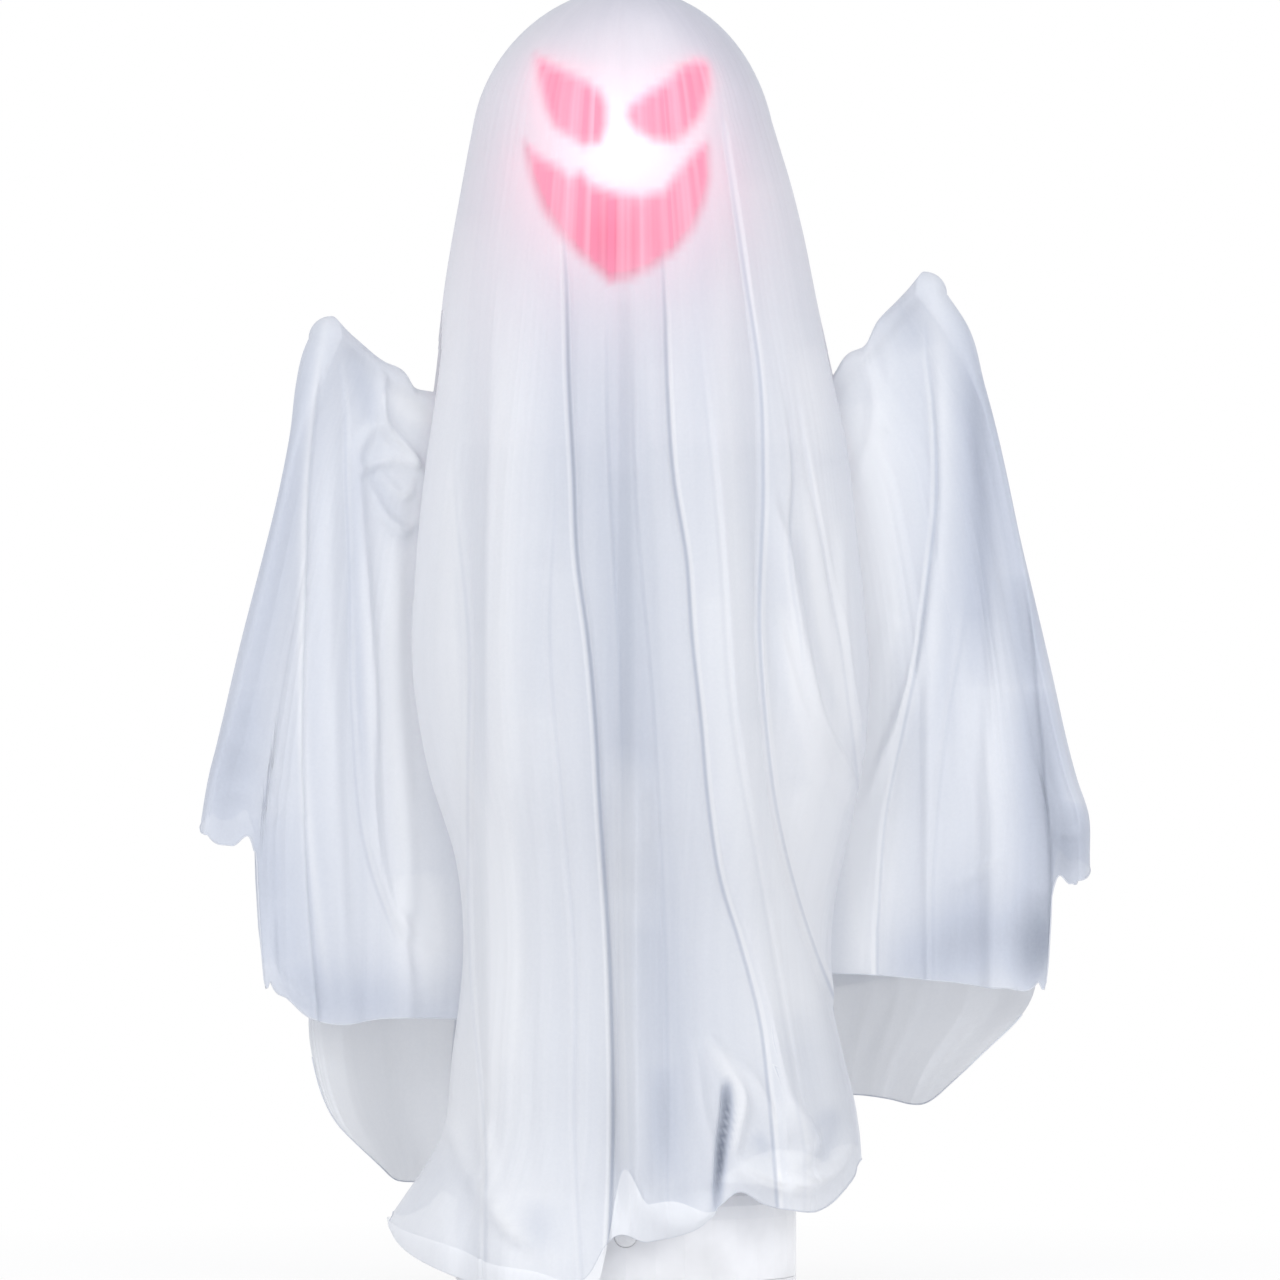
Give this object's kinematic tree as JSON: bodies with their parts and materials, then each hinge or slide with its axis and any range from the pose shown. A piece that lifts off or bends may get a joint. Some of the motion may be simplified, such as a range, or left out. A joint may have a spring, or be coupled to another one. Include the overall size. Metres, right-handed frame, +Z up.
{
  "type": "animated ghost figure",
  "caption": "Draped cloth ghost with a lit grinning face that rises and sinks on a telescopic mast over a round battery base, with raised arms that swing",
  "frame": {"origin": "centre of the underside of the non-slip pad, on the floor", "axes": "+Z up along the mast, front faces -Y, +X to the viewer's right in the picture"},
  "size_m": [0.6186, 0.3849, 0.9135],
  "materials": {
    "nonslip_pad": "matt black rubber",
    "base_floor_plate": "white moulded plastic",
    "base_housing": "white moulded plastic",
    "base_screw_1": "plain steel",
    "base_screw_2": "plain steel",
    "base_screw_3": "plain steel",
    "base_screw_4": "plain steel",
    "battery_box": "dark moulded plastic",
    "battery_1": "plain blue sleeve",
    "battery_2": "plain blue sleeve",
    "battery_3": "plain blue sleeve",
    "battery_contact_left": "plain steel",
    "battery_contact_right": "plain steel",
    "door_hinge_pin": "plain steel",
    "circuit_board": "green circuit board",
    "speaker": "grey moulded plastic",
    "sensor_window": "dark red window",
    "outer_mast_tube": "drawn square tube",
    "gear_bracket": "grey moulded plastic",
    "gear_cover": "grey moulded plastic",
    "cover_screw_1": "plain steel",
    "cover_screw_2": "plain steel",
    "drive_motor": "steel motor can",
    "battery_door": "white moulded plastic",
    "power_switch_knob": "grey moulded plastic",
    "test_button": "grey moulded plastic",
    "lift_pinion": "natural nylon-like plastic",
    "reduction_wheel": "natural nylon-like plastic",
    "motor_pinion": "turned brass",
    "inner_mast_tube": "drawn square tube",
    "glide_shoe": "natural nylon-like plastic",
    "lift_rack": "natural nylon-like plastic",
    "shoulder_bar": "white moulded plastic",
    "left_arm_pivot_pin": "plain steel",
    "right_arm_pivot_pin": "plain steel",
    "neck_post": "white moulded plastic",
    "head_screw_1": "plain steel",
    "head_screw_2": "plain steel",
    "head_shell_front": "white moulded plastic",
    "head_shell_back": "white moulded plastic",
    "left_eye_lens": "tinted pink-red lens",
    "right_eye_lens": "tinted pink-red lens",
    "mouth_lens": "tinted pink-red lens",
    "lamp_board": "green circuit board",
    "lamp_1": "clear lamp body",
    "lamp_2": "clear lamp body",
    "lamp_3": "clear lamp body",
    "head_shroud": "sheer white woven cloth, hems left raw",
    "back_cape": "sheer white woven cloth, hems left raw",
    "left_arm_rod": "plain steel",
    "left_hand_knob": "white moulded plastic",
    "left_arm_drape": "sheer white woven cloth, hems left raw",
    "right_arm_rod": "plain steel",
    "right_hand_knob": "white moulded plastic",
    "right_arm_drape": "sheer white woven cloth, hems left raw"
  },
  "bodies": {
    "base": {"nonslip_pad": "nonslip_pad", "base_floor_plate": "base_floor_plate", "base_housing": "base_housing", "base_screw_1": "base_screw_1", "base_screw_2": "base_screw_2", "base_screw_3": "base_screw_3", "base_screw_4": "base_screw_4", "battery_box": "battery_box", "battery_1": "battery_1", "battery_2": "battery_2", "battery_3": "battery_3", "battery_contact_left": "battery_contact_left", "battery_contact_right": "battery_contact_right", "door_hinge_pin": "door_hinge_pin", "circuit_board": "circuit_board", "speaker": "speaker", "sensor_window": "sensor_window", "outer_mast_tube": "outer_mast_tube", "gear_bracket": "gear_bracket", "gear_cover": "gear_cover", "cover_screw_1": "cover_screw_1", "cover_screw_2": "cover_screw_2", "drive_motor": "drive_motor"},
    "battery_door": {"battery_door": "battery_door"},
    "power_switch": {"power_switch_knob": "power_switch_knob"},
    "test_button": {"test_button": "test_button"},
    "lift_gear": {"lift_pinion": "lift_pinion", "reduction_wheel": "reduction_wheel"},
    "motor_gear": {"motor_pinion": "motor_pinion"},
    "lift": {"inner_mast_tube": "inner_mast_tube", "glide_shoe": "glide_shoe", "lift_rack": "lift_rack", "shoulder_bar": "shoulder_bar", "left_arm_pivot_pin": "left_arm_pivot_pin", "right_arm_pivot_pin": "right_arm_pivot_pin", "neck_post": "neck_post", "head_screw_1": "head_screw_1", "head_screw_2": "head_screw_2", "head_shell_front": "head_shell_front", "head_shell_back": "head_shell_back", "left_eye_lens": "left_eye_lens", "right_eye_lens": "right_eye_lens", "mouth_lens": "mouth_lens", "lamp_board": "lamp_board", "lamp_1": "lamp_1", "lamp_2": "lamp_2", "lamp_3": "lamp_3", "head_shroud": "head_shroud", "back_cape": "back_cape"},
    "left_arm": {"left_arm_rod": "left_arm_rod", "left_hand_knob": "left_hand_knob", "left_arm_drape": "left_arm_drape"},
    "right_arm": {"right_arm_rod": "right_arm_rod", "right_hand_knob": "right_hand_knob", "right_arm_drape": "right_arm_drape"}
  },
  "joints": [
    {"name": "mast_rise", "type": "slide", "parent": "base", "child": "lift", "axis": [0, 0, 1], "range_m": [-0.22, 0], "deforming": ["head_shroud", "back_cape"]},
    {"name": "lift_gear_spin", "type": "hinge", "parent": "base", "child": "lift_gear", "pos_m": [0, 0.0219, 0.324], "axis": [1, 0, 0], "range_deg": [0, 1682]},
    {"name": "motor_gear_spin", "type": "hinge", "parent": "base", "child": "motor_gear", "pos_m": [0, 0.0419, 0.324], "axis": [1, 0, 0], "range_deg": [-5045, 0]},
    {"name": "left_arm_swing", "type": "hinge", "parent": "lift", "child": "left_arm", "pos_m": [-0.125, 0, 0.6], "axis": [0, 1, 0], "range_deg": [-45, 20], "deforming": ["left_arm_drape"]},
    {"name": "right_arm_swing", "type": "hinge", "parent": "lift", "child": "right_arm", "pos_m": [0.125, 0, 0.6], "axis": [0, -1, 0], "range_deg": [-45, 20], "deforming": ["right_arm_drape"]},
    {"name": "battery_door_hinge", "type": "hinge", "parent": "base", "child": "battery_door", "pos_m": [0, 0.1059, 0.0112], "axis": [-1, 0, 0], "range_deg": [0, 90]},
    {"name": "power_switch_slide", "type": "slide", "parent": "base", "child": "power_switch", "axis": [1, 0, 0], "range_m": [0, 0.004]},
    {"name": "test_button_press", "type": "slide", "parent": "base", "child": "test_button", "axis": [0, -1, 0], "range_m": [0, 0.002], "stiffness_N_per_m": 300}
  ],
  "couplings": [
    {"joint": "lift_gear_spin", "follows": "mast_rise", "rad_per_m": -133.33},
    {"joint": "motor_gear_spin", "follows": "mast_rise", "rad_per_m": 400}
  ]
}
